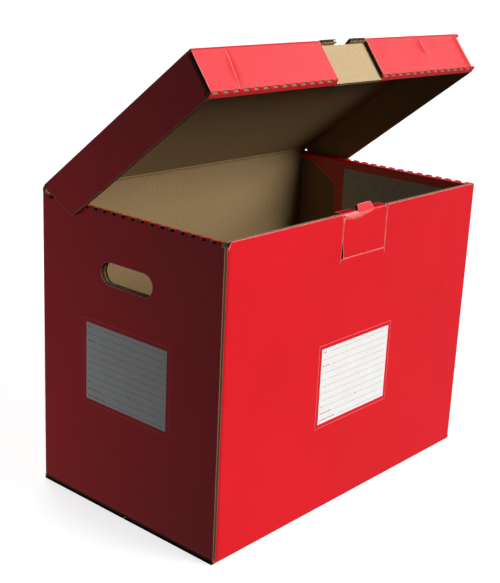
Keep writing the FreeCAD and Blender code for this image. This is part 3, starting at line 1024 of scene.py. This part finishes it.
def lid_flanges():
    left = [(LEFT_START + LEFT_TAPER, -FLANGE, "raw"), (PLY_BACK, -FLANGE, "butt"),
            (PLY_BACK, -BOARD, "butt"), (LEFT_START, -BOARD, "raw")]
    right = [(-PLY_BACK, -FLANGE, "raw"), (-RIGHT_START - RIGHT_TAPER, -FLANGE, "raw"),
             (-RIGHT_START, -BOARD, "butt"), (-PLY_BACK, -BOARD, "butt")]
    left_tab = rectangle(-LID_HALF, FRONT_LOW, -TAB_START, FRONT_HIGH, "raw raw butt fold")
    right_tab = rectangle(TAB_START, FRONT_LOW, LID_HALF, FRONT_HIGH, "raw fold butt raw")
    for side, flange in (("left", left), ("right", right)):
        put_lid("lid_%s_flange_board" % side, Board(flange, flute_axis=1), side, LID_HALF,
                "lid_%s_flange" % side)
    for side, tab in (("left", left_tab), ("right", right_tab)):
        put_lid("lid_%s_tab_board" % side, Board(tab, flute_axis=1), "front", PLY_FRONT,
                "lid_%s_corner_tab" % side)


def lid_front():
    """Outer ply in two halves beside the window, each creased, with the right end bent in."""
    low, high = FRONT_LOW, FRONT_HIGH
    left = rectangle(-LID_HALF, low, -WINDOW_HALF, high, "butt raw butt raw")
    left_crease = ((34.5 - LID_HALF, low + 0.5), (39 - LID_HALF, high - 0.5))
    put_lid("lid_front_left_board", Board(left, lines=[left_crease]), "front", LID_DEPTH,
            "lid_front_outer_left")
    right = [(WINDOW_HALF, low, "butt"), (LID_HALF - 0.5, low, "raw"), (LID_HALF - 3.5, high, "butt"),
             (WINDOW_HALF, high, "raw")]
    creases = [((120.4, high - 12), (121, high - 0.5)),
               ((LID_HALF - 6, low + 0.5), (LID_HALF - 7.5, high - 0.5))]
    bent_end = ((LID_HALF, (low + high) / 2), (4.6, 90), 2.4)
    put_lid("lid_front_right_board", Board(right, lines=creases, dents=[bent_end]), "front",
            LID_DEPTH, "lid_front_outer_right")


def lid_front_inner():
    """Inner ply between the corner tabs, which reaches lower in the window."""
    side, window = TAB_START - WINDOW_PLAY, WINDOW_HALF - WINDOW_PLAY
    outline = [(-side, FRONT_LOW, "butt"), (-window, FRONT_LOW, "raw"), (-window, -FLANGE, "raw"),
               (window, -FLANGE, "raw"), (window, FRONT_LOW, "butt"), (side, FRONT_LOW, "raw"),
               (side, FRONT_HIGH, "raw"), (-side, FRONT_HIGH, "raw")]
    # Its kraft face keeps the plain kraft colour, without the painted shade of other kraft faces.
    put_lid("lid_front_inner_board", Board(outline), "back", -PLY_BACK, "lid_front_inner",
            materials=UNSHADED_KRAFT_MATERIALS)


def lid_rims():
    """Turned-under bottom of the lid's front, cut through at intervals."""
    width = LID_DEPTH - PLY_BACK
    bridge = rim_section(LID_BRIDGE, BRIDGE_KINDS, width, LID_INNER)
    cut = rim_section(LID_CUT, CUT_KINDS, width, LID_INNER)
    middle, half = (LID_HALF + WINDOW_HALF) / 2, (LID_HALF - WINDOW_HALF) / 2
    stations = rim_stations(half, -half + SLIT_LENGTH / 2, 13)
    for side, sign in (("left", -1), ("right", 1)):

        def to_point(along, across, below, sign=sign):
            return (sign * middle + along, -LID_DEPTH + across, -FLANGE + below)

        build("lid_rim_%s_board" % side, rim_mesh(stations, bridge, cut, to_point), AS_MADE,
              ["lid_front_rim_" + side], "lid", settle=settle_lid)


def lid_crease():
    """The crease between back wall and lid, with the board bent round it."""
    wall, lid = HALF_LENGTH - 1.3, LID_NECK
    bend = 3.2
    forward = Vector((0, -math.cos(LID_OPEN), math.sin(LID_OPEN)))
    under = Vector((0, -math.sin(LID_OPEN), -math.cos(LID_OPEN)))
    hinge = Vector((0, HALF_WIDTH, HINGE_HEIGHT))

    def wall_point(deep, down):
        return hinge + Vector((0, -deep, -down))

    def lid_point(along, deep):
        return hinge + forward * along + under * deep

    turn_start, turn_end = wall_point(0, bend), lid_point(bend, 0)
    profile = [(wall_point(0, BACK_STRIP), wall, PRINTED), (turn_start, wall, PRINTED)]
    for t in (0.2, 0.4, 0.6, 0.8):
        point = turn_start * (1 - t) ** 2 + hinge * 2 * t * (1 - t) + turn_end * t ** 2
        profile.append((point, wall + (lid - wall) * t, PRINTED))
    inner_lid, inner_wall = lid_point(BOARD, BOARD), wall_point(BOARD, BOARD)
    middle = (inner_lid + inner_wall) / 2 + Vector((0, -0.5, -0.3))
    profile += [(turn_end, lid, PRINTED), (lid_point(LID_STRIP, 0), lid, RAW),
                (lid_point(LID_STRIP, BOARD), lid, KRAFT), (lid_point(LID_STRIP - 0.6, BOARD), lid, KRAFT),
                (inner_lid, lid, KRAFT), (middle, (lid + wall) / 2, KRAFT), (inner_wall, wall, KRAFT),
                (wall_point(BOARD, BACK_STRIP), wall, RAW)]
    count = 40
    stations = []
    for s in range(count + 1):
        share = 2 * s / count - 1
        places = [(share * half, point.y, point.z) for point, half, _ in profile]
        stations.append([(place, place, 0.85 if kind == PRINTED else 0.4)
                         for place, (_, _, kind) in zip(places, profile)])
    blend = ("box_body", "lid", wall_point(0, 4.5) * MM, lid_point(LID_STRIP - 0.4, 0) * MM)
    build("lid_crease_board", loft(stations, lambda s, i: profile[i][2]), AS_MADE,
          settle=no_settling, blend=blend)


# ---------------------------------------------------------------- labels

LABEL_WIDTH, LABEL_HEIGHT = 105.0, 75.0
PAPER = 0.1
PAPER_LIFT = 0.02
INK = 0.02
RULE_HALF = 0.17
RULE_END = 2.5
# Where each rule starts and how long its caption is, as shares of the label's width.
RULES = ((0.12, 0.05), (0.02, 0), (0.16, 0.1), (0.02, 0), (0.02, 0), (0.02, 0), (0.02, 0), (0.02, 0),
         (0.08, 0.04), (0.22, 0.17), (0.28, 0.23))
SPLIT_RULE = 8  # this rule has a second caption in its middle
DASH_PITCH, DASH_SHARE = 2.6, 0.72
BORDER_GAP, BORDER_LINE, BORDER_LIFT = 3.6, 0.55, 0.04


def add_slab(mesh, left, right, low, high, level, thickness, step=10.0):
    """A thin closed slab lying flat, divided along its length so that it can follow a wall."""
    columns, rows = max(1, round((right - left) / step)), max(1, round((high - low) / step))
    top, bottom = {}, {}
    for layer, height in ((top, level + thickness), (bottom, level)):
        for i in range(columns + 1):
            for j in range(rows + 1):
                a, b = left + (right - left) * i / columns, low + (high - low) * j / rows
                layer[i, j] = mesh.add_point((a, b, height), (a, b, 0))
    for i in range(columns):
        for j in range(rows):
            quad = [(i, j), (i + 1, j), (i + 1, j + 1), (i, j + 1)]
            mesh.add_face([top[spot] for spot in quad])
            mesh.add_face([bottom[spot] for spot in quad[::-1]])
    rim = [(i, 0) for i in range(columns)] + [(columns, j) for j in range(rows)]
    rim += [(i, rows) for i in range(columns, 0, -1)] + [(0, j) for j in range(rows, 0, -1)]
    for here, there in zip(rim, rim[1:] + rim[:1]):
        mesh.add_face([bottom[here], bottom[there], top[there], top[here]])


def slabs(pieces, level, thickness):
    """One mesh of several slabs, each (left, right, low, high)."""
    mesh = Mesh()
    for piece in pieces:
        add_slab(mesh, *piece, level, thickness)
    return mesh


def dashes(left, right, level):
    """A row of short bars that stands for a caption."""
    count = max(1, round((right - left) / DASH_PITCH))
    pitch = (right - left) / count
    return [(left + pitch * k, left + pitch * (k + DASH_SHARE), level - 0.1, level + 0.85)
            for k in range(count)]


def rules_and_captions(left, low):
    """The ruled lines of a label and the bars of its captions."""
    rules, captions = [], []
    pitch = (LABEL_HEIGHT - 7.0) / (len(RULES) - 1)
    for i, (start, caption) in enumerate(RULES):
        level = low + LABEL_HEIGHT - 4.0 - i * pitch
        stretches = [(start, None)]
        if i == SPLIT_RULE:
            stretches = [(start, 0.5), (0.6, None)]
            captions += dashes(left + LABEL_WIDTH * 0.53, left + LABEL_WIDTH * 0.57, level)
        for begin, end in stretches:
            stop = left + LABEL_WIDTH * end if end else -left - RULE_END
            rules.append((left + LABEL_WIDTH * begin, stop, level - RULE_HALF, level + RULE_HALF))
        if caption:
            captions += dashes(left + 2.2, left + 2.2 + LABEL_WIDTH * caption, level)
    return rules, captions


def label(name, node, side, face):
    """White paper with ruled lines, generic caption dashes and a printed border round it."""
    lowest, highest = corners(node)
    left, low = -LABEL_WIDTH / 2, (lowest.z + highest.z - LABEL_HEIGHT) / 2
    high = low + LABEL_HEIGHT
    sheet = slabs([(left, -left, low, high)], PAPER_LIFT, PAPER - PAPER_LIFT)
    put(name, sheet, side, face, node, materials=(LABEL_PAPER,), slot="label_paper")
    rules, captions = rules_and_captions(left, low)
    for suffix, pieces, ink in (("_rules", rules, RULE_INK), ("_captions", captions, CAPTION_INK)):
        put(name + suffix, slabs(pieces, PAPER, INK), side, face, materials=(ink,), slot="label_paper")
    x, y0, y1 = BORDER_GAP - left, low - BORDER_GAP, high + BORDER_GAP
    bottom, top = y0 - BORDER_LINE, y1 + BORDER_LINE
    border = [(-x, x, bottom, y0), (-x, x, y1, top), (-x - BORDER_LINE, -x, bottom, top),
              (x, x + BORDER_LINE, bottom, top)]
    put(name + "_frame", slabs(border, 0.0, BORDER_LIFT), side, face, materials=(FRAME_INK,))


# ---------------------------------------------------------------- studio


def direction(azimuth, elevation):
    """Unit vector with this azimuth, 0 at the front and 90 degrees at the right, and height."""
    return Vector((math.sin(azimuth) * math.cos(elevation), -math.cos(azimuth) * math.cos(elevation),
                   math.sin(elevation)))


def floor():
    bpy.ops.mesh.primitive_circle_add(vertices=96, radius=14, fill_type="NGON", location=(0, 0, -0.0002))
    ground = bpy.context.object
    ground.name = "studio_floor"
    look = Look("studio_floor", 0.9, 0.1)
    look.shader.inputs["Base Color"].default_value = (0.42, 0.42, 0.42, 1)
    look.shader.inputs["Emission Color"].default_value = (1, 1, 1, 1)
    look.shader.inputs["Emission Strength"].default_value = 0.79
    ground.data.materials.append(look.material)
    ground.visible_diffuse = False
    ground.visible_glossy = False


def lamp(name, kind, energy, backwards, settings):
    """A light that shines away from this direction and isn't mirrored in the box's gloss."""
    data = bpy.data.lights.new(name, kind)
    data.energy = energy
    for key, value in settings.items():
        setattr(data, key, value)
    light = bpy.data.objects.new(name, data)
    light.rotation_mode = "QUATERNION"
    light.rotation_quaternion = backwards.to_track_quat("Z", "Y")
    light.visible_glossy = False
    bpy.context.scene.collection.objects.link(light)
    return light


def sun(name, azimuth, elevation, energy, softness):
    towards = direction(math.radians(azimuth), math.radians(elevation))
    return lamp(name, "SUN", energy, towards, {"angle": math.radians(softness)})


def lights():
    """A soft key, the sheen on the front, a low panel at the left end and light from behind."""
    sun("key", 24, 27, 4.0, 38)
    sun("gloss", 57, 32, 0.5, 36).visible_glossy = True
    panel = {"shape": "RECTANGLE", "size": 0.18, "size_y": 0.18, "color": (0.94, 0.97, 1.0)}
    side = lamp("side", "AREA", 0.37, Vector((-1, 0, 0)), panel)
    side.location = (-0.62, 0.24, 0.1)
    side.visible_camera = False
    sun("rear", 148, 38, 1.9, 45)


def world():
    """White where the camera looks past the floor, a dim even fill for the light."""
    sky = bpy.data.worlds.new("studio")
    bpy.context.scene.world = sky
    sky.use_nodes = True
    tree = sky.node_tree
    fill = tree.nodes["Background"]
    fill.inputs["Color"].default_value = (0.95, 0.97, 1.0, 1)
    fill.inputs["Strength"].default_value = 0.02
    sheen = add_node(tree, "ShaderNodeBackground", None, {"Color": (0.85, 0.97, 1, 1), "Strength": 0.16})
    white = add_node(tree, "ShaderNodeBackground", None, {"Color": (1, 1, 1, 1), "Strength": 0.98})
    path = add_node(tree, "ShaderNodeLightPath")
    last = fill.outputs[0]
    for seen_by, background in (("Is Glossy Ray", sheen), ("Is Camera Ray", white)):
        mix = add_node(tree, "ShaderNodeMixShader", None,
                       {"Fac": path.outputs[seen_by], 1: last, 2: background.outputs[0]})
        last = mix.outputs[0]
    tree.links.new(last, tree.nodes["World Output"].inputs["Surface"])


def camera():
    azimuth, elevation, roll = map(math.radians, (-49.231, 17.201, 2.703))
    focal_px, long_side = 1114.9, 583
    back = direction(azimuth, elevation)
    right = (-back).cross(Vector((0, 0, 1))).normalized()
    up = right.cross(-back)
    turned_right = right * math.cos(roll) + up * math.sin(roll)
    turned_up = up * math.cos(roll) - right * math.sin(roll)
    data = bpy.data.cameras.new("camera")
    data.sensor_width = 36
    data.lens = focal_px / long_side * data.sensor_width
    data.shift_x = -0.0025
    data.shift_y = -0.0079
    data.clip_start = 0.05
    data.clip_end = 60
    eye = bpy.data.objects.new("camera", data)
    axes = Matrix((turned_right, turned_up, back)).transposed().to_4x4()
    eye.matrix_world = Matrix.Translation(Vector((-822.08, -688.76, 519.11)) * MM) @ axes
    bpy.context.scene.collection.objects.link(eye)
    bpy.context.scene.camera = eye


camera()
floor()
world()
lights()
bpy.context.scene.view_settings.view_transform = "Standard"

front_wall()
back_wall()
outer_ends()
glue_tab()
bottom_flaps()
inner_panels()
end_rims()
lock_flap()
lock_crease()
lock_strip()
lock_tongue()
lid_top()
lid_flanges()
lid_front()
lid_front_inner()
lid_rims()
lid_crease()
label("front_label_sheet", "front_label", "front", HALF_WIDTH)
label("left_end_label_sheet", "left_end_label", "left", HALF_LENGTH)
